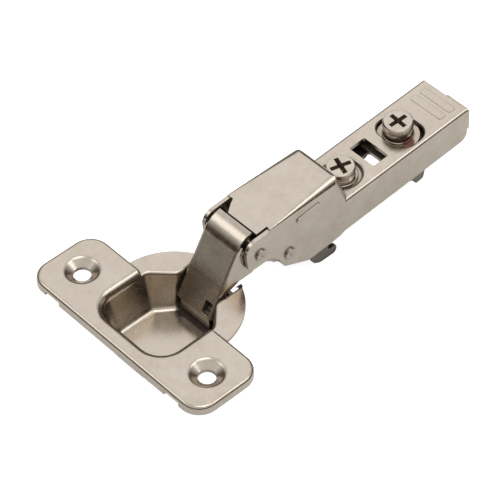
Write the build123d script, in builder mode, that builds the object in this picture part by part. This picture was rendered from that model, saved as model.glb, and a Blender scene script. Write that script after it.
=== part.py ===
from build123d import *

import os
from math import atan2, cos, degrees, radians, sin

# Concealed cup hinge, clip-on arm, cranked for half overlay. Millimetres.
# Origin: centre of the 35 mm cup on the door face. +Z points away from the door,
# +X towards the arm, +Y along the wing plate. The arm stands almost fully open.

# ---------------------------------------------------------------- driving dimensions
SHEET = 1.0

# Cup
PLATE_FRONT = -20.0
PLATE_REAR = 1.0
PLATE_HALF = 30.8
PLATE_TOP = 2.5
RIM_TOP = 1.0
RIM_RADIUS = 17.5
SCREW_X = -9.5
SCREW_Y = 22.5
SCREW_HOLE_R = 2.26
SCREW_SINK_R = 4.5
POCKET_FLOOR = -10.4
POCKET_NARROW = 6.7
END_WALL_TOP = -3.5

# Pivots in the cup and rivets in the arm, X and Z
CUP_PIVOT_OUTER = (9.9, -6.0)
CUP_PIVOT_INNER = (12.5, -3.0)
RIVET_FRONT = (21.86, 8.37)
RIVET_REAR = (31.65, 1.84)
CUP_PIN_R = 0.98
RIVET_R = 1.9

# Outer link, measured from the front rivet: s up along the link, n out of its face
LINK_LEAN = 61.0
LINK_HALF = 6.2
LINK_FACE = 7.2
LINK_FOOT = -19.2
ROLL_HALF = 5.6

# Arm frame: u along the arm, v out of its top. The arm stands a little to one side.
ARM_TILT = 3.79
ARM_ORIGIN = Vector(-9.5, 0, 12.387)
ARM_HALF = 7.95
ARM_MID = 0.45
ARM_SHEET = 1.05
ARM_LEVEL = -9.77
ARM_END = 103.2
TONGUE_EDGE = 31.3
SIDE_SCREW_U = 65.4
SIDE_HOLE_U = 65.8
DEPTH_SCREW_U = 85.7
DEPTH_HOLE_U = 86.4
ECCENTRICITY = 2.0

# ---------------------------------------------------------------- frames
ARM_U = Vector(cos(radians(ARM_TILT)), 0, sin(radians(ARM_TILT)))
ARM_V = Vector(-sin(radians(ARM_TILT)), 0, cos(radians(ARM_TILT)))
ARM_SIDE = Plane(
    origin=ARM_ORIGIN + Vector(0, ARM_MID, 0), x_dir=ARM_U, z_dir=(0, -1, 0)
)
ARM_TOP = Plane(origin=ARM_ORIGIN, x_dir=ARM_U, z_dir=ARM_V)
LINK_S = Vector(cos(radians(LINK_LEAN)), 0, sin(radians(LINK_LEAN)))
LINK_SIDE = Plane(
    origin=(RIVET_FRONT[0], 0, RIVET_FRONT[1]), x_dir=LINK_S, z_dir=(0, -1, 0)
)


def across(plane, y):
    """The same side plane moved to the given Y."""
    return Plane(
        origin=plane.origin + Vector(0, y, 0), x_dir=plane.x_dir, z_dir=plane.z_dir
    )


def arm_cut(u):
    """Plane square to the arm at length u: its x is Y and its y is v."""
    return Plane(origin=ARM_SIDE.origin + ARM_U * u, x_dir=(0, 1, 0), z_dir=ARM_U)


def outline(plane, corners):
    """Polygon face from (x, y, corner radius) triples."""
    with BuildSketch(plane) as sketch:
        with BuildLine():
            Polyline([(x, y) for x, y, r in corners], close=True)
        make_face()
        for x, y, r in corners:
            if r:
                fillet(sketch.vertices().sort_by_distance((x, y))[0], r)
    return sketch.sketch


def disc(plane, centre, radius):
    """Round face on a plane."""
    with BuildSketch(plane) as sketch:
        with Locations(centre):
            Circle(radius)
    return sketch.sketch


def channel(plane, half, top, bottom, radius):
    """Cross-section of the arm: flat bottom, two rounded top corners."""
    corners = [(-half, bottom, 0), (-half, top, radius), (half, top, radius), (half, bottom, 0)]
    return outline(plane, corners)


def finish(builder, name):
    """Label the piece and write it."""
    builder.part.label = name
    export_step(builder.part, f"parts/{name}.step")


os.makedirs("parts", exist_ok=True)

# ---------------------------------------------------------------- cup
WING_OUTLINE = [
    (PLATE_FRONT, PLATE_HALF, 5.5),
    (PLATE_REAR, PLATE_HALF, 5.5),
    (PLATE_REAR, -PLATE_HALF, 5.5),
    (PLATE_FRONT, -PLATE_HALF, 5.5),
]
# Half section of a countersink, with its rolled upper edge
SINK = [
    (0, 0.9, 0),
    (SCREW_HOLE_R, 0.9, 0),
    (SCREW_SINK_R, PLATE_TOP, 1.6),
    (6.0, PLATE_TOP, 0),
    (6.0, 4.0, 0),
    (0, 4.0, 0),
]
MOUTH_ROLL = 2.0
RIM_ROLL = 0.85


def pocket_outline(z, front, half, shoulder, neck, end):
    """Plan of the pocket: broad front chamber that narrows towards the arm."""
    side = [
        (front, half, 6.0),
        (shoulder, half, 2.5),
        (neck, POCKET_NARROW, 2.0),
        (end, POCKET_NARROW, 1.8),
    ]
    other = [(x, -y, r) for x, y, r in reversed(side)]
    return outline(Plane.XY.offset(z), side + other)


def grown(sketch, amount):
    """Flat face grown or shrunk by an amount."""
    return offset(sketch, amount=amount, kind=Kind.ARC, mode=Mode.PRIVATE)


def in_wings(edge):
    """True for an edge of the pocket's mouth that lies in the wing plate."""
    at = edge.center()
    return -17 < at.X < 0.9 and abs(at.Y) < 13


def in_rim(edge):
    """True for an edge of the pocket's mouth that lies in the rim."""
    at = edge.center()
    return at.X > -1.4 and Vector(at.X, at.Y).length < 16


pocket_top = pocket_outline(0, -15.1, 12.1, 2.1, 7.5, 22.0)
pocket_low = pocket_outline(POCKET_FLOOR, -13.5, 9.9, 1.9, 6.4, 14.6)
pocket_inner = pocket_outline(0, -15.1, 12.1, 2.1, 7.5, 15.0)

# Wing plate, rolled down all round and into the mouth of the pocket
with BuildPart() as wings:
    extrude(outline(Plane.XY, WING_OUTLINE), amount=PLATE_TOP)
    extrude(pocket_top, amount=PLATE_TOP, mode=Mode.SUBTRACT)
    upper = wings.faces().sort_by(Axis.Z)[-1].edges()
    fillet(upper.filter_by(in_wings), MOUTH_ROLL)
    upper = wings.faces().sort_by(Axis.Z)[-1].edges()
    fillet(upper.filter_by(lambda edge: not in_wings(edge)), 1.0)
    with BuildSketch(Plane.XY) as hollow:
        add(grown(outline(Plane.XY, WING_OUTLINE), -SHEET))
        add(grown(pocket_top, SHEET + 0.4), mode=Mode.SUBTRACT)
    extrude(amount=PLATE_TOP - SHEET, mode=Mode.SUBTRACT)

# Rim on the arm side
with BuildPart() as rim:
    with BuildSketch(Plane.XY) as half_moon:
        Circle(RIM_RADIUS)
        with Locations((-11.5, 0)):
            Rectangle(20, 50, mode=Mode.SUBTRACT)
    extrude(amount=RIM_TOP)
    extrude(pocket_top, amount=RIM_TOP, mode=Mode.SUBTRACT)
    upper = rim.faces().group_by(Axis.Z)[-1].edges()
    fillet(upper.filter_by(in_rim), RIM_ROLL)

# Inside of the pocket
with BuildPart() as chamber:
    loft(sections=[pocket_low, pocket_inner])
    fillet(chamber.faces().sort_by(Axis.Z)[0].edges(), 1.5)

with BuildPart() as cup:
    add(wings.part)
    add(rim.part)
    # Outside of the pocket
    loft(
        sections=[
            grown(pocket_low, SHEET).moved(Location((0, 0, -SHEET))),
            grown(pocket_inner, SHEET),
        ]
    )
    fillet(cup.faces().sort_by(Axis.Z)[0].edges(), 2.2)
    # Pressed seats of the two countersunk screws
    with Locations((SCREW_X, SCREW_Y, 0), (SCREW_X, -SCREW_Y, 0)):
        Cone(3.4, 5.4, PLATE_TOP - SHEET, align=(Align.CENTER, Align.CENTER, Align.MIN))
        Cylinder(SCREW_HOLE_R, 12, mode=Mode.SUBTRACT)
    for side in (SCREW_Y, -SCREW_Y):
        upright = Plane(origin=(SCREW_X, side, 0), x_dir=(1, 0, 0), z_dir=(0, -1, 0))
        revolve(outline(upright, SINK), axis=Axis(upright.origin, (0, 0, 1)), mode=Mode.SUBTRACT)
    add(chamber.part, mode=Mode.SUBTRACT)
    # The rim and the end wall open where the links swing through
    with Locations((13.7, 0, END_WALL_TOP)):
        Box(
            12.6,
            2 * POCKET_NARROW,
            10,
            align=(Align.CENTER, Align.CENTER, Align.MIN),
            mode=Mode.SUBTRACT,
        )
    # Gaps in the front skirt
    with Locations((PLATE_FRONT, 21.5, 0), (PLATE_FRONT, -21.5, 0)):
        Box(2.4, 5.0, 2.4, mode=Mode.SUBTRACT)
    # Holes of the link pin
    for pivot in (CUP_PIVOT_OUTER, CUP_PIVOT_INNER):
        extrude(
            disc(Plane.XZ, pivot, CUP_PIN_R + 0.01), amount=12, both=True, mode=Mode.SUBTRACT
        )
finish(cup, "cup")

# ---------------------------------------------------------------- link pin of the cup
with BuildPart() as cup_pivot_pin:
    for pivot in (CUP_PIVOT_OUTER, CUP_PIVOT_INNER):
        extrude(disc(across(Plane.XZ, 9.0), pivot, CUP_PIN_R), amount=17.4)
    span = Vector(CUP_PIVOT_INNER) - Vector(CUP_PIVOT_OUTER)
    start = Vector(CUP_PIVOT_OUTER[0], 9.0, CUP_PIVOT_OUTER[1])
    reach = Vector(span.X, 0, span.Y)
    extrude(disc(Plane(origin=start, z_dir=reach), (0, 0), CUP_PIN_R), amount=reach.length)
    with Locations(start, start + reach):
        Sphere(CUP_PIN_R)
finish(cup_pivot_pin, "cup_pivot_pin")

# ---------------------------------------------------------------- outer link
LINK_N = Vector(-sin(radians(LINK_LEAN)), 0, cos(radians(LINK_LEAN)))


def on_link(point):
    """(s, n) of a point given as X and Z."""
    rel = Vector(point[0] - RIVET_FRONT[0], 0, point[1] - RIVET_FRONT[1])
    return rel.dot(LINK_S), rel.dot(LINK_N)


foot_pivot = on_link(CUP_PIVOT_OUTER)
FLANGE = [
    (LINK_FOOT, LINK_FACE, 0),
    (-1.2, LINK_FACE, 0),
    (0.4, 3.38, 0),
    (-1.6, -3.0, 0),
    (-6.1, -1.7, 1.2),
    (-8.2, 2.1, 1.5),
    (-11.5, 4.9, 3.0),
    (-16.6, 4.9, 0),
    (foot_pivot[0], foot_pivot[1], 0),
]
ROLL_SHOULDER = 76
ROLL_END = 39


def on_outer_edge(edge):
    """True for a long edge where the link's face turns into a flange."""
    at = edge.center()
    return on_link((at.X, at.Z))[1] > LINK_FACE - 0.01 and abs(at.Y) > LINK_HALF - 0.01


def roll_sector(end):
    """Section of the link's roll from its face round to an angle."""
    with BuildSketch(LINK_SIDE) as sector:
        Circle(LINK_FACE)
        Circle(LINK_FACE - SHEET, mode=Mode.SUBTRACT)
        with BuildLine():
            Polyline(
                (0, 0),
                (14 * cos(radians(end)), 14 * sin(radians(end))),
                (14 * cos(radians(end)), 14),
                (0, 14),
                close=True,
            )
        make_face(mode=Mode.INTERSECT)
    return sector.sketch


with BuildPart() as outer_link:
    web = outline(
        LINK_SIDE,
        [
            (LINK_FOOT, LINK_FACE - SHEET, 0),
            (LINK_FOOT, LINK_FACE, 0),
            (0, LINK_FACE, 0),
            (0, LINK_FACE - SHEET, 0),
        ],
    )
    extrude(web, amount=LINK_HALF, both=True)
    extrude(roll_sector(ROLL_SHOULDER), amount=LINK_HALF, both=True)
    for side in (-LINK_HALF + SHEET, LINK_HALF):
        plane = across(LINK_SIDE, side)
        extrude(outline(plane, FLANGE), amount=SHEET)
        extrude(disc(plane, (0, 0), 3.4), amount=SHEET)
        extrude(disc(plane, foot_pivot, 2.2), amount=SHEET)
    fillet(outer_link.edges().filter_by(Axis((0, 0, 0), LINK_S)).filter_by(on_outer_edge), 0.9)
    # Narrower end of the roll
    extrude(roll_sector(ROLL_END), amount=ROLL_HALF, both=True)
    for pivot, radius in ((foot_pivot, CUP_PIN_R + 0.06), ((0, 0), RIVET_R + 0.08)):
        extrude(disc(LINK_SIDE, pivot, radius), amount=12, both=True, mode=Mode.SUBTRACT)
    # Window in the foot for the leg of the spring
    with BuildSketch(Plane(LINK_SIDE.origin, x_dir=(0, -1, 0), z_dir=LINK_N)) as window:
        with Locations((3.95, -16.85)):
            RectangleRounded(2.5, 3.7, 0.5)
    extrude(amount=12, mode=Mode.SUBTRACT)
finish(outer_link, "outer_link")

# ---------------------------------------------------------------- bush and shoe of the outer link
BUSH_R = 2.6
with BuildPart() as outer_link_bush:
    with BuildSketch(LINK_SIDE) as ring:
        Circle(BUSH_R)
        Circle(RIVET_R + 0.08, mode=Mode.SUBTRACT)
    extrude(amount=LINK_HALF - SHEET - 0.02, both=True)
finish(outer_link_bush, "outer_link_bush")

SHOE_OUTER = 4.1
SHOE_INNER = 3.1
SHOE_LIP = [
    (0.4, 2.1, 0),
    (0.4, 2.7, 0),
    (-1.5, 2.7, 0.3),
    (-3.3, 1.45, 0),
    (-3.2, 0.6, 0),
    (-2.6, 1.0, 0.3),
    (-1.7, 2.1, 0.2),
]
shoe_side = Plane(
    origin=(CUP_PIVOT_OUTER[0], 0, CUP_PIVOT_OUTER[1]), x_dir=LINK_S, z_dir=(0, -1, 0)
)
with BuildPart() as spring_shoe:
    # Shell round the pivot, cut off flat under the link's foot
    with BuildSketch(shoe_side) as shell:
        Circle(SHOE_OUTER)
        Circle(SHOE_INNER, mode=Mode.SUBTRACT)
        with BuildLine():
            Polyline((0, 0), (0, 1.5), (-6, 1.5), (-6, -3.1), close=True)
        make_face(mode=Mode.INTERSECT)
    extrude(amount=5.15, both=True)
    # Lip that lies on the inside of the link's web
    extrude(outline(shoe_side, SHOE_LIP), amount=5.15, both=True)
finish(spring_shoe, "spring_shoe")

# ---------------------------------------------------------------- inner link
INNER_HALF = 4.9
INNER_PLATE = 1.2
FOOT_HALF = 1.75
# The link loop is opened at the rear rivet: the eye of the inner link is wide
# enough, and set off by this much, for the rivet to stay clear over the whole swing.
REAR_PLAY = 0.88
REAR_EYE = (RIVET_REAR[0] - 0.45, RIVET_REAR[1] + 0.1)
GOOSENECK = [
    (15.2, 1.0, 0.5),
    (17.6, 1.7, 2.0),
    (24.0, 2.3, 3.0),
    (29.5, -1.6, 0),
    (33.0, 5.5, 0),
    (27.5, 4.9, 4.0),
    (17.5, 4.7, 2.5),
    (14.6, 3.6, 0.8),
]
NECK = [
    (10.4, -2.2, 0),
    (12.6, 1.6, 1.5),
    (15.0, 4.2, 1.0),
    (17.5, 4.6, 0),
    (17.5, 1.8, 0),
    (16.2, 0.6, 0.8),
    (14.7, -2.4, 0),
    (12.5, -3.0, 0),
]

with BuildPart() as inner_link:
    for side in (-INNER_HALF + INNER_PLATE, INNER_HALF):
        plane = across(Plane.XZ, side)
        extrude(outline(plane, GOOSENECK), amount=INNER_PLATE)
        extrude(disc(plane, REAR_EYE, 4.1), amount=INNER_PLATE)
    # Bridge between the side plates
    with BuildSketch(Plane.XZ) as bridge:
        add(outline(Plane.XY, GOOSENECK))
        with BuildLine():
            Polyline((14, 3.4), (17.6, 3.5), (26.5, 3.7), (26.5, 8), (14, 8), close=True)
        make_face(mode=Mode.INTERSECT)
    extrude(amount=INNER_HALF - 0.2, both=True)
    # Rolled foot on the cup pin
    extrude(outline(Plane.XZ, NECK), amount=FOOT_HALF, both=True)
    extrude(disc(Plane.XZ, CUP_PIVOT_INNER, 2.35), amount=FOOT_HALF, both=True)
    extrude(
        disc(Plane.XZ, CUP_PIVOT_INNER, CUP_PIN_R + 0.06),
        amount=12,
        both=True,
        mode=Mode.SUBTRACT,
    )
    extrude(
        disc(Plane.XZ, REAR_EYE, RIVET_R + REAR_PLAY),
        amount=12,
        both=True,
        mode=Mode.SUBTRACT,
    )
finish(inner_link, "inner_link")

# ---------------------------------------------------------------- rivets and spacers
ARM_NEAR = ARM_MID - ARM_HALF
ARM_FAR = ARM_MID + ARM_HALF
RIVET_HEAD_R = 1.65
RIVET_HEAD = 0.65


def rivet(point):
    """Shank across the arm with a dimpled head on each side."""
    with BuildPart() as body:
        extrude(disc(across(Plane.XZ, ARM_FAR), point, RIVET_R), amount=2 * ARM_HALF)
        for side, way in ((ARM_NEAR, 1), (ARM_FAR, -1)):
            head = disc(across(Plane.XZ, side), point, RIVET_HEAD_R)
            extrude(head, amount=way * RIVET_HEAD)
        fillet(body.faces().sort_by(Axis.Y)[0].edges(), 0.3)
        fillet(body.faces().sort_by(Axis.Y)[-1].edges(), 0.3)
        for side, way in ((ARM_NEAR, -1), (ARM_FAR, 1)):
            with Locations((point[0], side + way * (RIVET_HEAD + 0.4), point[1])):
                Sphere(0.6, mode=Mode.SUBTRACT)
    return body


front_rivet = rivet(RIVET_FRONT)
finish(front_rivet, "front_rivet")
rear_rivet = rivet(RIVET_REAR)
finish(rear_rivet, "rear_rivet")

with BuildPart() as inner_link_spacers:
    for start, end in (
        (-INNER_HALF - 0.05, ARM_NEAR + ARM_SHEET + 0.05),
        (ARM_FAR - ARM_SHEET - 0.05, INNER_HALF + 0.05),
    ):
        with BuildSketch(across(Plane.XZ, start)) as ring:
            with Locations(RIVET_REAR):
                Circle(3.4)
                Circle(RIVET_R + 0.02, mode=Mode.SUBTRACT)
        extrude(amount=start - end)
finish(inner_link_spacers, "inner_link_spacers")

# ---------------------------------------------------------------- closing springs
WIRE_R = 0.33
COIL_R = 1.68
COIL_PITCH = 0.68
COIL_TURNS = 3.33


def torsion_spring(centre, way, radius, pitch, turns, wire_r, heading, legs):
    """Coil along Y (way is its sign) that starts in a heading of the XZ plane.

    legs are the straight lengths before the start and after the end.
    """
    axis = Axis(centre, (0, 1, 0))
    with BuildPart() as spring:
        with BuildLine() as wire:
            Helix(pitch, pitch * turns, radius, centre, (0, way, 0), lefthand=way > 0)
        first = wire.line @ 0 - Vector(centre)
        coil = wire.line.rotate(axis, degrees(atan2(first.Z, first.X)) - heading)
        with BuildLine() as path:
            add(coil)
            Line(coil @ 0 - (coil % 0) * legs[0], coil @ 0)
            Line(coil @ 1, coil @ 1 + (coil % 1) * legs[1])
        ends = path.wires()[0]
        with BuildSketch(Plane(origin=ends @ 0, z_dir=ends % 0)):
            Circle(wire_r)
        sweep(path=ends)
    return spring


def closing_spring(way):
    """One of the two springs on the outer leg of the cup pin."""
    centre = (CUP_PIVOT_OUTER[0], way * 2.28, CUP_PIVOT_OUTER[1])
    heading = LINK_LEAN + 90
    return torsion_spring(
        centre, way, COIL_R, COIL_PITCH, COIL_TURNS, WIRE_R, heading, (2.6, 1.1)
    )


closing_spring_left = closing_spring(1)
closing_spring_right = closing_spring(-1)
finish(closing_spring_left, "closing_spring_left")
finish(closing_spring_right, "closing_spring_right")

# ---------------------------------------------------------------- arm
WALL_TOP = -0.5
WALL_LOW = [
    (26.95, -9.75, 2.2),
    (34.3, -10.1, 2.5),
    (37.1, -13.3, 2.0),
    (38.4, -16.7, 2.5),
    (46.6, -21.15, 2.0),
    (57.6, -20.95, 1.0),
    (59.2, -20.35, 1.0),
    (ARM_END, -20.1, 2.5),
    (ARM_END, 3.0, 0),
    (TONGUE_EDGE, 3.0, 0),
    (TONGUE_EDGE, WALL_TOP, 0),
    (26.6, WALL_TOP, 3.2),
    (26.6, -5.0, 0),
]
SIDE_BORE = 4.9
HOLE_ROLL = 0.9
HUMP_BACK = [(20, -30, 0), (20, 0, 0), (58.2, 0, 1.9), (61.9, -9.9, 0), (61.9, -30, 0)]
HUMP_BACK_INSIDE = [
    (20, -30, 0),
    (20, -ARM_SHEET, 0),
    (57.2, -ARM_SHEET, 0.9),
    (60.7, -9.9, 0),
    (60.7, -30, 0),
]
INSIDE = ARM_HALF - ARM_SHEET


def arm_solid(half, top, level, front_r, back_r, low_r, hump, corner, end):
    """Hump and low channel of the arm as one solid block."""
    back = hump[2][0]
    slope = ARM_U * (hump[3][0] - back) + ARM_V * (hump[3][1] - hump[2][1])
    # A hair wider than the walls, so that its rounded corners cut them cleanly
    wide = half + 0.02
    plan = outline(
        Plane(origin=ARM_SIDE.origin, x_dir=ARM_U, z_dir=ARM_V),
        [(0, wide, 0), (0, -wide, 0), (back, -wide, corner), (back, wide, corner)],
    )
    with BuildPart() as block:
        extrude(channel(arm_cut(24), half, top, -26, front_r), amount=12)
        loft(
            sections=[
                channel(arm_cut(36), half, top, -26, front_r),
                channel(arm_cut(62), half, top, -26, back_r),
            ]
        )
        extrude(outline(ARM_SIDE, hump), amount=20, both=True, mode=Mode.INTERSECT)
        extrude(plan, amount=40, dir=slope.normalized(), mode=Mode.INTERSECT)
        extrude(channel(arm_cut(50), half, level, -26, low_r), amount=end - 50)
    return block


def on_screw(u):
    """Upright plane through a screw: x is the radius, y is v."""
    return Plane(origin=ARM_ORIGIN + ARM_U * u, x_dir=ARM_U, z_dir=(0, -1, 0))


def round_depth_hole(edge):
    """True for an upper edge of the rear screw's hole."""
    at = edge.center() - (ARM_ORIGIN + ARM_U * DEPTH_HOLE_U)
    return abs(at.dot(ARM_V) - ARM_LEVEL) < 0.01 and Vector(at.dot(ARM_U), at.Y).length < 6.1


arm_outer = arm_solid(ARM_HALF, 0, ARM_LEVEL, 0.5, 3.2, 1.0, HUMP_BACK, 3.4, ARM_END)
arm_inner = arm_solid(
    INSIDE, -ARM_SHEET, ARM_LEVEL - ARM_SHEET, 0.2, 2.1, 0.3, HUMP_BACK_INSIDE, 2.3, ARM_END + 5
)

with BuildPart() as arm:
    add(arm_outer.part)
    add(arm_inner.part, mode=Mode.SUBTRACT)
    extrude(outline(ARM_SIDE, WALL_LOW), amount=20, both=True, mode=Mode.INTERSECT)
    # Tongue of the hump: chamfered on one side, with a slit on each side
    with BuildSketch(ARM_TOP.offset(-3)) as nose:
        with BuildLine():
            Polyline(
                (20, ARM_NEAR + ARM_SHEET),
                (20, ARM_FAR - ARM_SHEET),
                (35.2, ARM_FAR - ARM_SHEET),
                (35.2, 6.3),
                (33.9, 5.7),
                (TONGUE_EDGE, 3.9),
                (TONGUE_EDGE, -6.1),
                (34.7, -6.1),
                (34.7, ARM_NEAR + ARM_SHEET),
                close=True,
            )
        make_face()
    extrude(amount=4, mode=Mode.SUBTRACT)
    with BuildSketch(ARM_TOP.offset(WALL_TOP)) as slits:
        with Locations((27.35, -7.3)):
            Rectangle(14.7, 2.4)
        with Locations((27.6, 7.5)):
            Rectangle(15.2, 2.4)
    extrude(amount=2, mode=Mode.SUBTRACT)
    # Raised rib on each wall
    for side, way in ((-ARM_HALF, 1), (ARM_HALF, -1)):
        with BuildSketch(across(ARM_SIDE, side)):
            with Locations(Location((47.1, -3.9), 3)):
                SlotOverall(8.0, 1.5)
        extrude(amount=way * 0.4)
    fillet(arm.faces().sort_by(Axis.Y)[0].edges(), 0.25)
    fillet(arm.faces().sort_by(Axis.Y)[-1].edges(), 0.25)
    # Round hole of the front screw, its upper edge rolled in
    upright = on_screw(SIDE_HOLE_U)
    bore = [
        (0, -13, 0),
        (SIDE_BORE, -13, 0),
        (SIDE_BORE, ARM_LEVEL, HOLE_ROLL),
        (SIDE_BORE + HOLE_ROLL + 0.02, ARM_LEVEL, 0),
        (SIDE_BORE + HOLE_ROLL + 0.02, ARM_LEVEL + 0.01, 0),
        (0, ARM_LEVEL + 0.01, 0),
    ]
    revolve(outline(upright, bore), axis=Axis(upright.origin, ARM_V), mode=Mode.SUBTRACT)
    mouth = disc(ARM_TOP.offset(ARM_LEVEL), (SIDE_HOLE_U, 0), SIDE_BORE)
    extrude(mouth, amount=3, mode=Mode.SUBTRACT)
    # Oval hole of the rear screw
    with BuildSketch(ARM_TOP.offset(ARM_LEVEL + 1)) as oval:
        with Locations((DEPTH_HOLE_U, 0)):
            RectangleRounded(9.7, 11.9, 3.8)
    extrude(amount=-3, mode=Mode.SUBTRACT)
    fillet(arm.edges().filter_by(round_depth_hole), 0.5)
    # Window between the holes
    with BuildSketch(ARM_TOP.offset(ARM_LEVEL + 1)) as window:
        with Locations((75.45, 0.2)):
            RectangleRounded(5.2, 8.6, 0.4)
    extrude(amount=-3, mode=Mode.SUBTRACT)
    # Two low bars pressed up near the end
    with BuildSketch(ARM_TOP.offset(ARM_LEVEL)) as bars:
        for bar_u in (96.9, 100.3):
            with Locations((bar_u, 0.4)):
                RectangleRounded(2.2, 10.8, 0.7)
    extrude(amount=0.12)
    # End flap folded in from the near wall
    flap = [(-7.95, -10.1, 1.0), (0.45, -10.1, 1.6), (0.45, -17.6, 1.0), (-7.95, -17.6, 1.0)]
    extrude(outline(arm_cut(ARM_END - 0.35), flap), amount=ARM_SHEET)
    # Rivet holes
    for point in (RIVET_FRONT, RIVET_REAR):
        extrude(disc(Plane.XZ, point, RIVET_R + 0.01), amount=12, both=True, mode=Mode.SUBTRACT)
finish(arm, "arm")


def turned(u, profile):
    """Solid of revolution about an upright axis of the arm."""
    plane = on_screw(u)
    with BuildPart() as body:
        with BuildSketch(plane):
            with BuildLine():
                Polyline(profile, close=True)
            make_face()
        revolve(axis=Axis(plane.origin, ARM_V))
    return body


def cross_recess(u, top, turn, length):
    """Tapered cross recess cut down from the head's top."""
    origin = ARM_ORIGIN + ARM_U * u + ARM_V * (top + 0.01)
    plane = Plane(origin=origin, x_dir=ARM_U, z_dir=ARM_V)
    with BuildSketch(plane) as cross:
        for angle in (turn, turn + 90):
            with Locations(Location((0, 0), angle)):
                Rectangle(length, 1.2)
                Rectangle(1.9, 1.9, rotation=45)
    extrude(cross.sketch, amount=-2.2, taper=12, mode=Mode.SUBTRACT)


# ---------------------------------------------------------------- front screw and its nut
SIDE_HEAD_TOP = ARM_LEVEL + 2.9
THREAD_R = 3.6
THREAD_CORE = 3.2
THREAD_PITCH = 0.8
thread = []
for turn in range(6):
    at = SIDE_HEAD_TOP - 1.55 - turn * THREAD_PITCH
    thread += [(THREAD_CORE, at), (THREAD_R, at - 0.3), (THREAD_R, at - 0.4)]
thread_end = SIDE_HEAD_TOP - 1.55 - 6 * THREAD_PITCH
side_screw = turned(
    SIDE_SCREW_U,
    [(0, SIDE_HEAD_TOP), (3.5, SIDE_HEAD_TOP), (3.75, SIDE_HEAD_TOP - 0.25)]
    + [(3.75, SIDE_HEAD_TOP - 1.25), (THREAD_CORE, SIDE_HEAD_TOP - 1.25)]
    + thread
    + [(THREAD_CORE, thread_end), (2.9, -13.0), (1.9, -13.0), (1.9, -17.4)]
    + [(3.0, -17.4), (3.0, -18.3), (0, -18.3)],
)
with side_screw:
    cross_recess(SIDE_SCREW_U, SIDE_HEAD_TOP, -18.5, 5.6)
finish(side_screw, "side_screw")

sheet_under = ARM_LEVEL - ARM_SHEET
side_screw_nut = turned(
    SIDE_SCREW_U,
    [(THREAD_R + 0.06, ARM_LEVEL - 0.2), (4.2, ARM_LEVEL - 0.2), (4.4, ARM_LEVEL - 0.4)]
    + [(4.4, sheet_under)]
    + [(5.6, sheet_under), (5.6, -12.3), (THREAD_R + 0.06, -12.3)],
)
finish(side_screw_nut, "side_screw_nut")

# ---------------------------------------------------------------- rear screw and its collar
DEPTH_HEAD_TOP = ARM_LEVEL + 3.8
depth_screw = turned(
    DEPTH_SCREW_U,
    [(0, DEPTH_HEAD_TOP), (3.65, DEPTH_HEAD_TOP), (4.0, DEPTH_HEAD_TOP - 0.35)]
    + [(4.0, DEPTH_HEAD_TOP - 1.35), (3.4, DEPTH_HEAD_TOP - 1.45)]
    + [(3.4, DEPTH_HEAD_TOP - 1.8), (3.75, DEPTH_HEAD_TOP - 1.95)]
    + [(3.75, DEPTH_HEAD_TOP - 3.2), (3.0, DEPTH_HEAD_TOP - 3.35)]
    + [(3.0, -11.7), (3.6, -11.7), (3.6, -12.3), (0, -12.3)],
)
with depth_screw:
    cross_recess(DEPTH_SCREW_U, DEPTH_HEAD_TOP, -4, 5.3)
    extrude(disc(ARM_TOP.offset(-12.3), (DEPTH_SCREW_U, ECCENTRICITY), 1.9), amount=-1.75)
finish(depth_screw, "depth_screw")

depth_screw_washer = turned(
    DEPTH_SCREW_U,
    [(3.08, -11.55), (3.08, sheet_under + 0.1), (3.6, ARM_LEVEL - 0.75)]
    + [(3.9, ARM_LEVEL - 0.35), (4.1, ARM_LEVEL - 0.5), (4.1, sheet_under)]
    + [(5.5, sheet_under), (5.7, sheet_under - 0.2), (5.7, -11.55)],
)
finish(depth_screw_washer, "depth_screw_washer")

# ---------------------------------------------------------------- guide plate
TILT_PIVOT = (98.0, -17.2)
PLATE_LEVEL = -12.5
with BuildPart() as guide_plate:
    with BuildSketch(ARM_TOP.offset(PLATE_LEVEL)) as plate:
        with Locations((88.8, ARM_MID)):
            RectangleRounded(22.8, 13.0, 0.8)
        with Locations((DEPTH_SCREW_U, 0.7)):
            SlotOverall(8.0, 4.06, rotation=90, mode=Mode.SUBTRACT)
    extrude(amount=-1.0)
    for side in (-5.35, 6.5):
        plane = across(ARM_SIDE, side)
        ear = [(95.7, -13.0, 0), (100.2, -13.0, 0), (100.2, -18.8, 1.5), (95.7, -18.8, 1.5)]
        extrude(outline(plane, ear), amount=1.15)
    extrude(disc(ARM_SIDE, TILT_PIVOT, 1.01), amount=12, both=True, mode=Mode.SUBTRACT)
finish(guide_plate, "guide_plate")

with BuildPart() as carriage_pin:
    extrude(disc(ARM_SIDE, TILT_PIVOT, 1.0), amount=6.55, both=True)
finish(carriage_pin, "carriage_pin")

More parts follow.
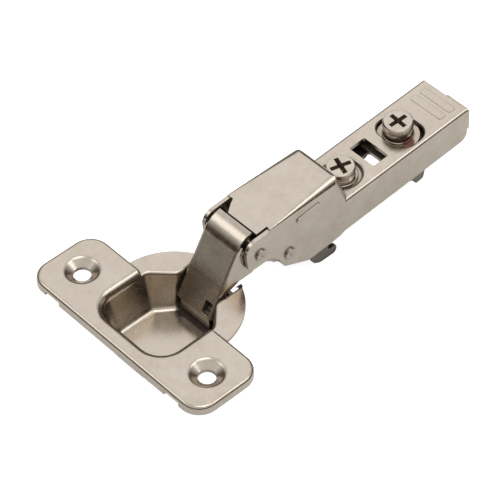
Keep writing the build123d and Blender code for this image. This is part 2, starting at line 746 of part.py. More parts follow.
# ---------------------------------------------------------------- carriage
CARRIAGE_HALF = 6.5
CARRIAGE_SHEET = 1.1
CARRIAGE_TOP = -14.9
CARRIAGE_SIDE = [
    (47.6, CARRIAGE_TOP, 1.0),
    (80.6, CARRIAGE_TOP, 0),
    (80.6, -19.6, 1.0),
    (60.5, -19.6, 2.0),
    (58.0, -23.3, 1.0),
    (54.6, -23.4, 0.8),
    (54.4, -25.1, 0.8),
    (57.6, -25.2, 0.9),
    (57.2, -27.9, 1.2),
    (51.6, -27.5, 2.0),
    (49.4, -26.0, 1.5),
    (48.4, -22.0, 2.0),
]
LEVER_PIVOT = (88.5, -18.1)
with BuildPart() as carriage:
    for side in (-CARRIAGE_HALF + CARRIAGE_SHEET, CARRIAGE_HALF):
        extrude(outline(across(ARM_SIDE, side), CARRIAGE_SIDE), amount=CARRIAGE_SHEET)
    for side in (-3.6, 4.7):
        tail = [(79, CARRIAGE_TOP, 0), (99.9, CARRIAGE_TOP, 0.8), (99.9, -19.2, 1.5)]
        tail += [(82.5, -19.2, 1.5), (79, -16.5, 0)]
        extrude(outline(across(ARM_SIDE, side), tail), amount=CARRIAGE_SHEET)
    with BuildSketch(ARM_TOP.offset(CARRIAGE_TOP)) as web:
        with Locations((64.8, ARM_MID)):
            Rectangle(31.6, 2 * CARRIAGE_HALF)
        with Locations((89.0, ARM_MID)):
            Rectangle(21.8, 9.4)
        with Locations((SIDE_SCREW_U, 0)):
            SlotOverall(7.9, 4.4, mode=Mode.SUBTRACT)
        with Locations((75.8, 0)):
            RectangleRounded(6.4, 7.4, 0.6, mode=Mode.SUBTRACT)
    extrude(amount=-1.0)
    for point in (TILT_PIVOT, LEVER_PIVOT):
        extrude(disc(ARM_SIDE, point, 1.05), amount=12, both=True, mode=Mode.SUBTRACT)
finish(carriage, "carriage")

# ---------------------------------------------------------------- release lever
with BuildPart() as release_lever:
    claw = [
        (84.2, -17.0, 1.0),
        (91.5, -16.6, 1.5),
        (94.4, -20.8, 0),
        (94.4, -21.7, 0),
        (89.4, -21.7, 1.0),
        (88.6, -24.9, 0.9),
        (85.6, -25.1, 0.8),
        (85.7, -23.4, 0.6),
        (83.8, -22.6, 0.8),
    ]
    for side in (-CARRIAGE_HALF + CARRIAGE_SHEET, CARRIAGE_HALF):
        extrude(outline(across(ARM_SIDE, side), claw), amount=CARRIAGE_SHEET)
    with BuildSketch(ARM_TOP.offset(-20.7)) as foot:
        with Locations((92.0, ARM_MID)):
            Rectangle(4.8, 2 * CARRIAGE_HALF)
        with Locations((97.0, ARM_MID)):
            RectangleRounded(8.0, 6.4, 1.0)
    extrude(amount=-1.0)
    extrude(disc(ARM_SIDE, LEVER_PIVOT, 1.05), amount=12, both=True, mode=Mode.SUBTRACT)
finish(release_lever, "release_lever")

with BuildPart() as lever_pin:
    extrude(disc(ARM_SIDE, LEVER_PIVOT, 1.0), amount=CARRIAGE_HALF + 0.05, both=True)
finish(lever_pin, "lever_pin")

lever_centre = ARM_ORIGIN + ARM_U * LEVER_PIVOT[0] + ARM_V * LEVER_PIVOT[1]
coil_start = (lever_centre.X, ARM_MID - 2.4, lever_centre.Z)
lever_spring = torsion_spring(
    coil_start, 1, 1.5, 0.62, 7.5, 0.25, 90 + ARM_TILT, (2.5, 2.5)
)
finish(lever_spring, "lever_spring")
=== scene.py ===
"""Looks of the concealed cup hinge: metal finishes, small pressed details, light and camera."""

import logging
import math
from dataclasses import dataclass, replace
from enum import Enum

import bpy
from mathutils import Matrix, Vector


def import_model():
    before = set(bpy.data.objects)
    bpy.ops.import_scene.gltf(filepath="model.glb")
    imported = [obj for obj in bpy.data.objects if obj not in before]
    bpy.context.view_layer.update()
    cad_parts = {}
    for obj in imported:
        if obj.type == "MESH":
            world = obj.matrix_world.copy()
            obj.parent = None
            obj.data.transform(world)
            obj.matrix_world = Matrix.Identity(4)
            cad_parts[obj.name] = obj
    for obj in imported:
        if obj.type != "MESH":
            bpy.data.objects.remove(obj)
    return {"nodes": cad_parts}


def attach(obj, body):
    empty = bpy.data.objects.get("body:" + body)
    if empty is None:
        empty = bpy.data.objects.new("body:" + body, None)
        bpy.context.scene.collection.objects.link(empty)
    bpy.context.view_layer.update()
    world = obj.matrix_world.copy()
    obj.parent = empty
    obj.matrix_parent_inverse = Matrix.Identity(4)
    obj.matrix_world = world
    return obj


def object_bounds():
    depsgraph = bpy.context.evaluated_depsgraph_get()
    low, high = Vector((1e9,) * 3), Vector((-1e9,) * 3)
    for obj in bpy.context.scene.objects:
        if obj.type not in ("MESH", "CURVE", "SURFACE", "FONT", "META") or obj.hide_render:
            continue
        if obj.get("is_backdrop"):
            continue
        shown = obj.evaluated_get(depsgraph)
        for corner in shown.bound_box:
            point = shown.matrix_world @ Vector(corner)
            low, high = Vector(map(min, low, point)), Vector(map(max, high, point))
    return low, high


LOG = logging.getLogger("cup_hinge")
MM = 0.001


class Role(Enum):
    """The kind of material that a finish belongs to."""

    NICKEL = "nickel"
    SCREW = "screw_nickel"
    PIN = "pin_steel"
    SPRING = "spring_steel"
    DARK = "dark_steel"


# ---------------------------------------------------------------- node helpers
class NodeBoard:
    """A node tree with short calls for adding and joining nodes."""

    def __init__(self, tree: bpy.types.NodeTree) -> None:
        """Starts on an existing tree.

        Args:
            tree: The shader tree or group tree that receives the nodes.
        """
        self.tree = tree

    def add(self, kind: str, **settings: object) -> bpy.types.Node:
        """Adds a node and sets its properties.

        Args:
            kind: Node type name without its ShaderNode prefix.
            settings: Property names and values of the node.

        Returns:
            The new node.
        """
        node = self.tree.nodes.new("ShaderNode" + kind)
        for name, value in settings.items():
            setattr(node, name, value)
        return node

    def join(self, source: bpy.types.NodeSocket, target: bpy.types.NodeSocket) -> None:
        """Links one socket to another."""
        self.tree.links.new(source, target)

    def feed(self, node: bpy.types.Node, **inputs: object) -> None:
        """Fills inputs of a node, by link if the value is a socket.

        Args:
            node: The node whose inputs are filled.
            inputs: Socket names, with _ for a space, and numbers or sockets.
        """
        for name, value in inputs.items():
            socket = node.inputs[name.replace("_", " ")]
            if isinstance(value, bpy.types.NodeSocket):
                self.join(value, socket)
            else:
                socket.default_value = value

    def maths(self, operation: str, first: object, second: object = 0.0) -> bpy.types.NodeSocket:
        """Adds a Math node.

        Args:
            operation: Name of the operation.
            first: Number or socket.
            second: Number or socket.

        Returns:
            The result socket.
        """
        node = self.add("Math", operation=operation)
        for socket, value in zip(node.inputs, (first, second)):
            if isinstance(value, bpy.types.NodeSocket):
                self.join(value, socket)
            else:
                socket.default_value = value
        return node.outputs[0]

    def remap(
        self, value: bpy.types.NodeSocket, low: float, high: float, to_low: float, to_high: float
    ) -> bpy.types.NodeSocket:
        """Clamped linear change of range.

        Args:
            value: The socket to change.
            low: Input that gives to_low.
            high: Input that gives to_high.
            to_low: Result at the low end.
            to_high: Result at the high end.

        Returns:
            The result socket.
        """
        node = self.add("MapRange")
        self.join(value, node.inputs["Value"])
        for name, number in (
            ("From Min", low),
            ("From Max", high),
            ("To Min", to_low),
            ("To Max", to_high),
        ):
            node.inputs[name].default_value = number
        return node.outputs["Result"]

    def noise(
        self, vector: bpy.types.NodeSocket, scale: float, detail: float = 2.0
    ) -> bpy.types.NodeSocket:
        """Adds a noise texture.

        Args:
            vector: Coordinates in millimetres.
            scale: Cells per millimetre.
            detail: Octaves.

        Returns:
            The factor socket, about 0.5 on average.
        """
        node = self.add("TexNoise")
        self.feed(node, Vector=vector, Scale=scale, Detail=detail)
        return node.outputs["Fac"]


def new_group(name: str, inputs: dict[str, float], outputs: dict[str, str]) -> NodeBoard:
    """Starts a shader node group.

    Args:
        name: Name of the group.
        inputs: Names and defaults of its number inputs.
        outputs: Names and socket types of its outputs.

    Returns:
        A board on the group's tree, with its Group Input and Group Output added.
    """
    tree = bpy.data.node_groups.new(name, "ShaderNodeTree")
    for label, default in inputs.items():
        socket = tree.interface.new_socket(label, in_out="INPUT", socket_type="NodeSocketFloat")
        socket.default_value = default
    for label, kind in outputs.items():
        tree.interface.new_socket(label, in_out="OUTPUT", socket_type=kind)
    board = NodeBoard(tree)
    tree.nodes.new("NodeGroupInput").name = "in"
    tree.nodes.new("NodeGroupOutput").name = "out"
    return board


def millimetres(
    board: NodeBoard, stretch: tuple[float, float, float] = (1, 1, 1)
) -> bpy.types.NodeSocket:
    """Object coordinates in millimetres, stretched if asked.

    Args:
        board: The tree to add to.
        stretch: Extra scale along X, Y and Z.

    Returns:
        The vector socket.
    """
    where = board.add("TexCoord")
    scale = board.add("Mapping")
    board.join(where.outputs["Object"], scale.inputs["Vector"])
    scale.inputs["Scale"].default_value = [axis / MM for axis in stretch]
    return scale.outputs["Vector"]


# ---------------------------------------------------------------- finishes
@dataclass(frozen=True)
class PaintSpot:
    """A dab of locking paint, in millimetres."""

    at: tuple[float, float, float]
    radius: float
    colour: tuple[float, float, float]
    roughness: float = 0.45


@dataclass(frozen=True)
class MetalFinish:
    """A metal with its grain, patches, hairlines, polished edges and painted shade in corners."""

    name: str
    role: Role
    bright: tuple[float, float, float]
    dull: tuple[float, float, float]
    # colour of the painted shade in occluded corners
    shade_tint: tuple[float, float, float]
    roughness: float
    spread: float
    grain: float
    edge_radius: float = 0.16
    edge_gain: float = 0.25
    # strength of the painted corner shade, and how much metal it takes away
    shade_amount: float = 0.35
    shade_cover: float = 0.4
    smoothest: float = 0.12
    bump_strength: float = 0.6
    bump_height: float = 0.02
    paint: PaintSpot | None = None

    def material(self, groups: "SurfaceGroups") -> bpy.types.Material:
        """Builds the material.

        Args:
            groups: The shared node groups.

        Returns:
            The finished material.
        """
        made = bpy.data.materials.new(self.name)
        made.use_nodes = True
        made.node_tree.nodes.clear()
        board = NodeBoard(made.node_tree)
        shader = board.add("BsdfPrincipled")
        output = board.add("OutputMaterial")
        board.join(shader.outputs["BSDF"], output.inputs["Surface"])

        surface = board.add("Group", node_tree=groups.grain)
        board.feed(surface, Roughness=self.roughness, Spread=self.spread, Grain=self.grain)
        edge = board.add("Group", node_tree=groups.edge)
        board.feed(edge, Gain=self.edge_gain)
        corner = board.add("Group", node_tree=groups.corner)
        board.feed(corner, Amount=self.shade_amount)

        tone = board.add("Mix", data_type="RGBA")
        tone.inputs["A"].default_value = (*self.dull, 1)
        tone.inputs["B"].default_value = (*self.bright, 1)
        board.join(surface.outputs["Tone"], tone.inputs["Factor"])
        # painted shade: occluded corners turn towards the shade colour and lose metal
        shaded = board.add("Mix", data_type="RGBA")
        shaded.inputs["B"].default_value = (*self.shade_tint, 1)
        board.join(corner.outputs["PaintedShade"], shaded.inputs["Factor"])
        board.join(tone.outputs["Result"], shaded.inputs["A"])
        colour = shaded.outputs["Result"]
        smooth = board.maths("SUBTRACT", surface.outputs["Roughness"], edge.outputs["Edge"])
        rough = board.maths("MAXIMUM", smooth, self.smoothest)
        shade_unmetal = board.maths("MULTIPLY", corner.outputs["PaintedShade"], self.shade_cover)
        metal = board.maths("SUBTRACT", 1.0, shade_unmetal)
        if self.paint:
            dab = self._dab(board, groups)
            coated = board.add("Mix", data_type="RGBA")
            coated.inputs["B"].default_value = (*self.paint.colour, 1)
            board.join(dab, coated.inputs["Factor"])
            board.join(colour, coated.inputs["A"])
            colour = coated.outputs["Result"]
            matt = board.maths("MULTIPLY", dab, self.paint.roughness)
            rough = board.maths("MAXIMUM", rough, matt)
            metal = board.maths("SUBTRACT", metal, dab)
        board.join(colour, shader.inputs["Base Color"])
        board.join(rough, shader.inputs["Roughness"])
        board.join(board.maths("MAXIMUM", metal, 0.0), shader.inputs["Metallic"])
        bump = board.add("Bump")
        bump.inputs["Strength"].default_value = self.bump_strength
        bump.inputs["Distance"].default_value = self.bump_height * MM
        board.join(surface.outputs["Height"], bump.inputs["Height"])
        bevel = board.add("Bevel", samples=4)
        bevel.inputs["Radius"].default_value = self.edge_radius * MM
        board.join(bevel.outputs["Normal"], bump.inputs["Normal"])
        board.join(bump.outputs["Normal"], shader.inputs["Normal"])
        return made

    def _dab(self, board: NodeBoard, groups: "SurfaceGroups") -> bpy.types.NodeSocket:
        """Mask of the paint spot.

        Args:
            board: The material's tree.
            groups: The shared node groups.

        Returns:
            1 in the spot, 0 outside.
        """
        spot = board.add("Group", node_tree=groups.spot)
        board.feed(spot, Radius=self.paint.radius)
        for axis, value in zip("XYZ", self.paint.at):
            spot.inputs[axis].default_value = value
        return spot.outputs["Dab"]


class SurfaceGroups:
    """The node groups that the metals share. Millimetres, and cells per millimetre."""

    FINE_SCALE = 2.6
    PATCH_SCALE = 0.16
    CLOUD_SCALE = 0.55
    LINE_SCALE, LINE_STRETCH = 1.6, (0.15, 4.0, 2.0)
    SCRATCH_SCALE, SCRATCH_STRETCH = 1.1, (0.25, 6.0, 1.0)
    SCRATCH_FROM, SCRATCH_TO = 0.70, 0.74
    PATCH_SHARE, CLOUD_SHARE, SPECK_SHARE = 0.6, 0.4, 0.35
    TONE_LOW, TONE_HIGH = 0.32, 0.68
    LINE_ROUGHNESS, SCRATCH_ROUGHNESS = 0.03, 0.05
    LINE_HEIGHT, SCRATCH_DEPTH = 0.06, 0.12
    EDGE_RADIUS = 0.35
    EDGE_STARTS, EDGE_FULL = 0.98, 0.8
    # reach and range of the painted corner shade
    CORNER_REACH = 5.0
    CORNER_STARTS, CORNER_FULL = 0.75, 0.15
    RAGGED_SCALE, RAGGED_DEPTH = 0.9, 1.6
    DAB_FADE, DAB_COVER = (-0.15, 0.25), 0.9

    def __init__(self) -> None:
        """Builds the groups."""
        self.grain = self._grain()
        self.edge = self._edge()
        self.corner = self._corner()
        self.spot = self._spot()

    def _grain(self) -> bpy.types.NodeTree:
        """Satin plated sheet: fine grain, soft patches and hairlines.

        Returns:
            The group's tree.
        """
        board = new_group(
            "satin_sheet",
            {"Roughness": 0.3, "Spread": 0.1, "Grain": 1.0},
            {
                "Tone": "NodeSocketFloat",
                "Roughness": "NodeSocketFloat",
                "Height": "NodeSocketFloat",
            },
        )
        given = board.tree.nodes["in"].outputs
        out = board.tree.nodes["out"].inputs
        where = millimetres(board)
        fine = board.noise(where, self.FINE_SCALE, 4.0)
        patch = board.noise(where, self.PATCH_SCALE, 3.0)
        cloud = board.noise(where, self.CLOUD_SCALE, 2.0)
        lines = board.noise(millimetres(board, self.LINE_STRETCH), self.LINE_SCALE, 2.0)
        scratch = board.noise(millimetres(board, self.SCRATCH_STRETCH), self.SCRATCH_SCALE, 0.0)
        nick = board.remap(scratch, self.SCRATCH_FROM, self.SCRATCH_TO, 0.0, 1.0)

        broad = board.maths("MULTIPLY", patch, self.PATCH_SHARE)
        soft = board.maths("ADD", broad, board.maths("MULTIPLY", cloud, self.CLOUD_SHARE))
        speck = board.maths("MULTIPLY", board.maths("SUBTRACT", fine, 0.5), self.SPECK_SHARE)
        mottled = board.maths("ADD", soft, speck)
        tone = board.remap(mottled, self.TONE_LOW, self.TONE_HIGH, 0.0, 1.0)
        board.join(tone, out["Tone"])
        swing = board.maths("SUBTRACT", soft, 0.5)
        swung = board.maths("MULTIPLY", swing, given["Spread"])
        rough = board.maths("ADD", given["Roughness"], swung)
        centred = board.maths("SUBTRACT", lines, 0.5)
        worn = board.maths("ADD", rough, board.maths("MULTIPLY", centred, self.LINE_ROUGHNESS))
        scored = board.maths("MULTIPLY", nick, self.SCRATCH_ROUGHNESS)
        board.join(board.maths("ADD", worn, scored), out["Roughness"])
        grained = board.maths("MULTIPLY", fine, given["Grain"])
        height = board.maths("ADD", grained, board.maths("MULTIPLY", lines, self.LINE_HEIGHT))
        groove = board.maths("MULTIPLY", nick, self.SCRATCH_DEPTH)
        board.join(board.maths("SUBTRACT", height, groove), out["Height"])
        return board.tree

    def _edge(self) -> bpy.types.NodeTree:
        """Mask of the edges that tumbling has polished.

        Returns:
            The group's tree.
        """
        board = new_group("polished_edge", {"Gain": 0.25}, {"Edge": "NodeSocketFloat"})
        given = board.tree.nodes["in"].outputs
        out = board.tree.nodes["out"].inputs
        bevel = board.add("Bevel", samples=4)
        bevel.inputs["Radius"].default_value = self.EDGE_RADIUS * MM
        flat = board.add("NewGeometry")
        match = board.add("VectorMath", operation="DOT_PRODUCT")
        board.join(bevel.outputs["Normal"], match.inputs[0])
        board.join(flat.outputs["Normal"], match.inputs[1])
        mask = board.remap(match.outputs["Value"], self.EDGE_STARTS, self.EDGE_FULL, 0.0, 1.0)
        board.join(board.maths("MULTIPLY", mask, given["Gain"]), out["Edge"])
        return board.tree

    def _corner(self) -> bpy.types.NodeTree:
        """Mask of painted shade in the inner corners, from ambient occlusion.

        Returns:
            The group's tree.
        """
        board = new_group("painted_corner_shade", {"Amount": 0.3}, {"PaintedShade": "NodeSocketFloat"})
        given = board.tree.nodes["in"].outputs
        out = board.tree.nodes["out"].inputs
        # painted shade where ambient occlusion finds a corner
        near = board.add("AmbientOcclusion", samples=6)
        near.inputs["Distance"].default_value = self.CORNER_REACH * MM
        open_sky = near.outputs["AO"]
        mask = board.remap(open_sky, self.CORNER_STARTS, self.CORNER_FULL, 0.0, 1.0)
        board.join(board.maths("MULTIPLY", mask, given["Amount"]), out["PaintedShade"])
        return board.tree

    def _spot(self) -> bpy.types.NodeTree:
        """Mask of a round dab with an uneven edge, given by its centre and radius.

        Returns:
            The group's tree.
        """
        board = new_group(
            "paint_spot", {"X": 0.0, "Y": 0.0, "Z": 0.0, "Radius": 1.0}, {"Dab": "NodeSocketFloat"}
        )
        given = board.tree.nodes["in"].outputs
        out = board.tree.nodes["out"].inputs
        where = millimetres(board)
        centre = board.add("CombineXYZ")
        for axis in "XYZ":
            board.join(given[axis], centre.inputs[axis])
        gap = board.add("VectorMath", operation="DISTANCE")
        board.join(where, gap.inputs[0])
        board.join(centre.outputs["Vector"], gap.inputs[1])
        wander = board.maths("SUBTRACT", board.noise(where, self.RAGGED_SCALE), 0.5)
        ragged = board.maths("MULTIPLY", wander, self.RAGGED_DEPTH)
        distance = board.maths("ADD", gap.outputs["Value"], ragged)
        reach = board.maths("SUBTRACT", given["Radius"], distance)
        board.join(board.remap(reach, *self.DAB_FADE, 0.0, self.DAB_COVER), out["Dab"])
        return board.tree


# Each finish's corner colour and amount set the painted shade in its corners.
NICKEL = MetalFinish(
    name="satin_nickel",
    role=Role.NICKEL,
    bright=(0.56, 0.50, 0.43),
    dull=(0.47, 0.41, 0.34),
    shade_tint=(0.10, 0.065, 0.035),
    roughness=0.22,
    spread=0.25,
    grain=0.7,
    shade_amount=0.85,
)
SCREW_NICKEL = MetalFinish(
    name="screw_nickel",
    role=Role.SCREW,
    bright=(0.58, 0.52, 0.44),
    dull=(0.46, 0.40, 0.33),
    shade_tint=(0.16, 0.10, 0.055),
    roughness=0.2,
    spread=0.25,
    grain=0.35,
    shade_amount=0.8,
)
PIN_STEEL = MetalFinish(
    name="pin_steel",
    role=Role.PIN,
    bright=(0.50, 0.45, 0.38),
    dull=(0.42, 0.37, 0.31),
    shade_tint=(0.09, 0.06, 0.04),
    roughness=0.22,
    spread=0.2,
    grain=0.3,
    shade_amount=0.7,
)
SPRING_STEEL = MetalFinish(
    name="spring_steel",
    role=Role.SPRING,
    bright=(0.34, 0.30, 0.25),
    dull=(0.22, 0.19, 0.16),
    shade_tint=(0.05, 0.035, 0.025),
    roughness=0.3,
    spread=0.2,
    grain=0.3,
    shade_amount=0.7,
)
DARK_STEEL = MetalFinish(
    name="dark_steel",
    role=Role.DARK,
    bright=(0.27, 0.24, 0.205),
    dull=(0.16, 0.14, 0.12),
    shade_tint=(0.05, 0.035, 0.022),
    roughness=0.36,
    spread=0.25,
    grain=0.8,
    shade_amount=0.7,
)
# Near-black copy of the dark steel for the rim burr: painted shade on the curled corner.
BURR_SHADE = replace(
    DARK_STEEL, name="burr_painted_shade", bright=(0.07, 0.06, 0.05), dull=(0.03, 0.026, 0.022)
)
PAINTED_NICKEL = replace(
    SCREW_NICKEL,
    name="painted_nickel",
    paint=PaintSpot(at=(76.3, -3.8, 7.45), radius=1.8, colour=(0.16, 0.045, 0.03)),
)
FINISHES = (
    NICKEL,
    SCREW_NICKEL,
    PAINTED_NICKEL,
    PIN_STEEL,
    SPRING_STEEL,
    DARK_STEEL,
    BURR_SHADE,
)


# ---------------------------------------------------------------- sub-assemblies
class SubAssembly:
    """A group of the hinge's pieces, with the finish of each."""

    title = "pieces"

    def finishes(self) -> dict[str, MetalFinish]:
        """Names the finish of each carried-over piece."""
        raise NotImplementedError

    def build(self, shop: dict[str, bpy.types.Material]) -> None:
        """Adds the group's own pieces, which most groups don't have.

        Args:
            shop: The built materials by finish name.
        """

    def dress(
        self, nodes: dict[str, bpy.types.Object], shop: dict[str, bpy.types.Material]
    ) -> None:
        """Gives each carried-over piece its material.

        Args:
            nodes: The frame's pieces by name.
            shop: The built materials by finish name.
        """
        for piece, finish in self.finishes().items():
            mesh = nodes[piece].data
            mesh.materials.clear()
            mesh.materials.append(shop[finish.name])
            LOG.info("%s: %s in %s", self.title, piece, finish.name)


@dataclass
class CupAssembly(SubAssembly):
    """The cup, its pivot pin, the closing springs and a burr on the cut rim. Millimetres."""

    title = "cup"
    sheet: MetalFinish = NICKEL
    pin: MetalFinish = PIN_STEEL
    springs: MetalFinish = SPRING_STEEL
    # near-black finish: painted shade on the burr
    burr: MetalFinish = BURR_SHADE
    burr_at: tuple[float, float, float] = (15.55, -6.8, 0.95)
    burr_radius: float = 0.46
    burr_length: float = 1.3
    burr_sheet: float = 0.14
    burr_cut: float = -0.08
    burr_vertices: int = 32
    burr_smooth_deg: float = 40.0

    def finishes(self) -> dict[str, MetalFinish]:
        """Names the finish of each carried-over piece.

        Returns:
            Finishes by piece name.
        """
        return {
            "cup": self.sheet,
            "cup_pivot_pin": self.pin,
            "closing_spring_left": self.springs,
            "closing_spring_right": self.springs,
        }

    def build(self, shop: dict[str, bpy.types.Material]) -> None:
        """Adds the burr.

        Args:
            shop: The built materials by finish name.
        """
        burr = self._half_tube("rim_burr")
        burr.data.materials.append(shop[self.burr.name])
        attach(burr, "cup")
        LOG.info("%s: %s in %s", self.title, burr.name, self.burr.name)

    def _half_tube(self, name: str) -> bpy.types.Object:
        """Models the curled burr: the upper half of a small tube, lying along the cut.

        Args:
            name: Name of the piece.

        Returns:
            The piece, at the origin with its place in its mesh.
        """
        along, across, up = (value * MM for value in self.burr_at)
        bpy.ops.object.select_all(action="DESELECT")
        bpy.ops.mesh.primitive_cylinder_add(
            vertices=self.burr_vertices,
            radius=self.burr_radius * MM,
            depth=self.burr_length * MM,
            end_fill_type="NOTHING",
            location=(along, across, up),
            rotation=(0, math.pi / 2, 0),
        )
        burr = bpy.context.object
        burr.name = burr.data.name = name
        bpy.ops.object.transform_apply(location=True, rotation=True, scale=True)
        bpy.ops.object.mode_set(mode="EDIT")
        bpy.ops.mesh.select_all(action="SELECT")
        bpy.ops.mesh.bisect(
            plane_co=(along, across, up + self.burr_cut * MM),
            plane_no=(0, 0, 1),
            clear_inner=True,
        )
        bpy.ops.mesh.select_all(action="SELECT")
        bpy.ops.mesh.normals_make_consistent(inside=False)
        bpy.ops.object.mode_set(mode="OBJECT")
        wall = burr.modifiers.new("wall", "SOLIDIFY")
        wall.thickness = self.burr_sheet * MM
        wall.offset = -1.0
        bpy.ops.object.modifier_apply(modifier=wall.name)
        bpy.ops.object.shade_smooth_by_angle(angle=math.radians(self.burr_smooth_deg))
        return burr


@dataclass
class LinkAssembly(SubAssembly):
    """Both links, with the bush, the shoe and the spacers that go with them."""

    title = "links"
    sheet: MetalFinish = NICKEL
    turned: MetalFinish = PIN_STEEL
    shoe: MetalFinish = DARK_STEEL

    def finishes(self) -> dict[str, MetalFinish]:
        """Names the finish of each carried-over piece.

        Returns:
            Finishes by piece name.
        """
        return {
            "outer_link": self.sheet,
            "outer_link_bush": self.turned,
            "spring_shoe": self.shoe,
            "inner_link": self.sheet,
            "inner_link_spacers": self.turned,
        }


@dataclass
class ArmAssembly(SubAssembly):
    """The arm, the rivets through it and the collars in its screw holes."""

    title = "arm"
    sheet: MetalFinish = NICKEL
    rivets: MetalFinish = PIN_STEEL
    front_collar: MetalFinish = SCREW_NICKEL
    rear_collar: MetalFinish = PAINTED_NICKEL

    def finishes(self) -> dict[str, MetalFinish]:
        """Names the finish of each carried-over piece.

        Returns:
            Finishes by piece name.
        """
        return {
            "arm": self.sheet,
            "front_rivet": self.rivets,
            "rear_rivet": self.rivets,
            "side_screw_nut": self.front_collar,
            "depth_screw_washer": self.rear_collar,
        }


@dataclass
class AdjusterAssembly(SubAssembly):
    """The two screws, and the guide that the rear one moves."""

    title = "adjusters"
    screws: MetalFinish = SCREW_NICKEL
    guide: MetalFinish = NICKEL
    pin: MetalFinish = PIN_STEEL

    def finishes(self) -> dict[str, MetalFinish]:
        """Names the finish of each carried-over piece.

        Returns:
            Finishes by piece name.
        """
        return {
            "side_screw": self.screws,
            "depth_screw": self.screws,
            "guide_plate": self.guide,
            "carriage_pin": self.pin,
        }


@dataclass
class ClipAssembly(SubAssembly):
    """The hooked carriage and the sprung lever that lets go of the mounting plate."""

    title = "clip"
    hooks: MetalFinish = DARK_STEEL
    pin: MetalFinish = PIN_STEEL
    spring: MetalFinish = SPRING_STEEL

    def finishes(self) -> dict[str, MetalFinish]:
        """Names the finish of each carried-over piece.

        Returns:
            Finishes by piece name.
        """
        return {
            "carriage": self.hooks,
            "lever_pin": self.pin,
            "release_lever": self.hooks,
            "lever_spring": self.spring,
        }


# ---------------------------------------------------------------- studio
@dataclass
class SoftBox:
    """A square area lamp aimed at the hinge."""

    name: str
    towards: tuple[float, float, float]
    distance: float
    side: float
    level: float

    def hang(self, aim: Vector) -> None:
        """Adds the lamp.

        Args:
            aim: The point that it faces.
        """
        lamp = bpy.data.lights.new(self.name, "AREA")
        lamp.shape = "SQUARE"
        lamp.size = self.side
        lamp.energy = self.level * math.pi * self.side**2
        holder = bpy.data.objects.new(self.name, lamp)
        way = Vector(self.towards).normalized()
        holder.location = aim + way * self.distance
        holder.rotation_mode = "QUATERNION"
        holder.rotation_quaternion = (-way).to_track_quat("-Z", "Y")
        bpy.context.scene.collection.objects.link(holder)


LAMPS = (
    SoftBox("key", (0.47, 0.50, 0.73), 1.0, 0.55, 0.34),
    SoftBox("overhead", (0.05, -0.1, 1.0), 1.0, 0.45, 2.3),
    SoftBox("right", (0.47, -0.38, 0.80), 1.0, 0.4, 1.6),
    SoftBox("left", (-0.40, 0.50, 0.77), 1.0, 0.35, 1.2),
)


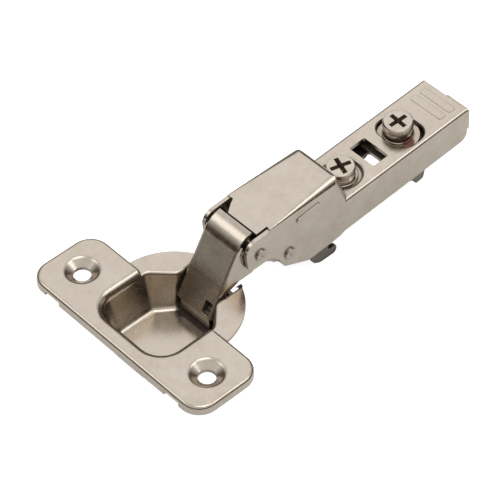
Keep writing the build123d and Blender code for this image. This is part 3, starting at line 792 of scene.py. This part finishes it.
@dataclass
class Studio:
    """Pale floor, soft light and the camera."""

    camera_at: tuple[float, float, float] = (-0.26718, -0.31239, 0.4554)
    back: tuple[float, float, float] = (-0.469, -0.5008, 0.7275)
    lens: float = 183.12
    aim: tuple[float, float, float] = (0.035, 0.0, 0.0)
    floor_half: float = 1.5
    floor_glow: float = 0.85
    floor_mirrored: float = 0.12
    floor_colour: tuple[float, float, float] = (0.8, 0.8, 0.8)
    room_low: tuple[float, float, float] = (0.065, 0.045, 0.028)
    room_high: tuple[float, float, float] = (0.9, 0.9, 0.9)
    room_fade: tuple[float, float] = (0.30, 0.66)
    sensor_width: float = 36.0
    clip: tuple[float, float] = (0.01, 20.0)

    def build(self, floor_level: float) -> None:
        """Adds everything.

        Args:
            floor_level: Height of the surface that the hinge lies on.
        """
        self._floor(floor_level)
        self._world()
        for box in LAMPS:
            box.hang(Vector(self.aim))
        self._camera()

    def _floor(self, level: float) -> None:
        """Adds the floor.

        Args:
            level: Its height.
        """
        bpy.ops.object.select_all(action="DESELECT")
        bpy.ops.mesh.primitive_plane_add(size=2 * self.floor_half, location=(0, 0, level))
        floor = bpy.context.object
        floor.name = "floor"
        made = bpy.data.materials.new("pale_table")
        made.use_nodes = True
        made.node_tree.nodes.clear()
        board = NodeBoard(made.node_tree)
        matt = board.add("BsdfDiffuse")
        board.feed(matt, Color=(*self.floor_colour, 1))
        path = board.add("LightPath")
        glow = board.add("Emission")
        seen = board.maths("MULTIPLY", path.outputs["Is Camera Ray"], self.floor_glow)
        mirrored = board.maths("MULTIPLY", path.outputs["Is Glossy Ray"], self.floor_mirrored)
        board.join(board.maths("ADD", seen, mirrored), glow.inputs["Strength"])
        both = board.add("AddShader")
        board.join(matt.outputs[0], both.inputs[0])
        board.join(glow.outputs[0], both.inputs[1])
        output = board.add("OutputMaterial")
        board.join(both.outputs[0], output.inputs["Surface"])
        floor.data.materials.append(made)
        floor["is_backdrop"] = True

    def _world(self) -> None:
        """Adds the room: pale overhead, dark low down for reflections, white to the camera."""
        world = bpy.data.worlds.new("room")
        world.use_nodes = True
        world.node_tree.nodes.clear()
        board = NodeBoard(world.node_tree)
        where = board.add("TexCoord")
        parts = board.add("SeparateXYZ")
        board.join(where.outputs["Generated"], parts.inputs[0])
        height = board.remap(parts.outputs["Z"], *self.room_fade, 0.0, 1.0)
        shade = board.add("Mix", data_type="RGBA")
        shade.inputs["A"].default_value = (*self.room_low, 1)
        shade.inputs["B"].default_value = (*self.room_high, 1)
        board.join(height, shade.inputs["Factor"])
        path = board.add("LightPath")
        seen = board.add("Mix", data_type="RGBA")
        seen.inputs["B"].default_value = (1, 1, 1, 1)
        board.join(path.outputs["Is Camera Ray"], seen.inputs["Factor"])
        board.join(shade.outputs["Result"], seen.inputs["A"])
        sky = board.add("Background")
        board.join(seen.outputs["Result"], sky.inputs["Color"])
        output = board.add("OutputWorld")
        board.join(sky.outputs[0], output.inputs["Surface"])
        bpy.context.scene.world = world

    def _camera(self) -> None:
        """Adds the camera."""
        data = bpy.data.cameras.new("camera")
        data.lens = self.lens
        data.sensor_width = self.sensor_width
        data.clip_start, data.clip_end = self.clip
        camera = bpy.data.objects.new("camera", data)
        camera.location = self.camera_at
        camera.rotation_mode = "QUATERNION"
        camera.rotation_quaternion = (-Vector(self.back)).to_track_quat("-Z", "Y")
        bpy.context.scene.collection.objects.link(camera)
        bpy.context.scene.camera = camera


def main() -> None:
    """Loads the frame, dresses every piece and sets up the studio."""
    logging.basicConfig(level=logging.INFO, format="%(message)s")
    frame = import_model()
    low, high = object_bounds()
    groups = SurfaceGroups()
    shop = {finish.name: finish.material(groups) for finish in FINISHES}
    for group in (
        CupAssembly(),
        LinkAssembly(),
        ArmAssembly(),
        AdjusterAssembly(),
        ClipAssembly(),
    ):
        group.dress(frame["nodes"], shop)
        group.build(shop)
    Studio().build(low[2])
    bpy.context.scene.view_settings.view_transform = "Standard"
    low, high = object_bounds()


if __name__ == "__main__":
    main()
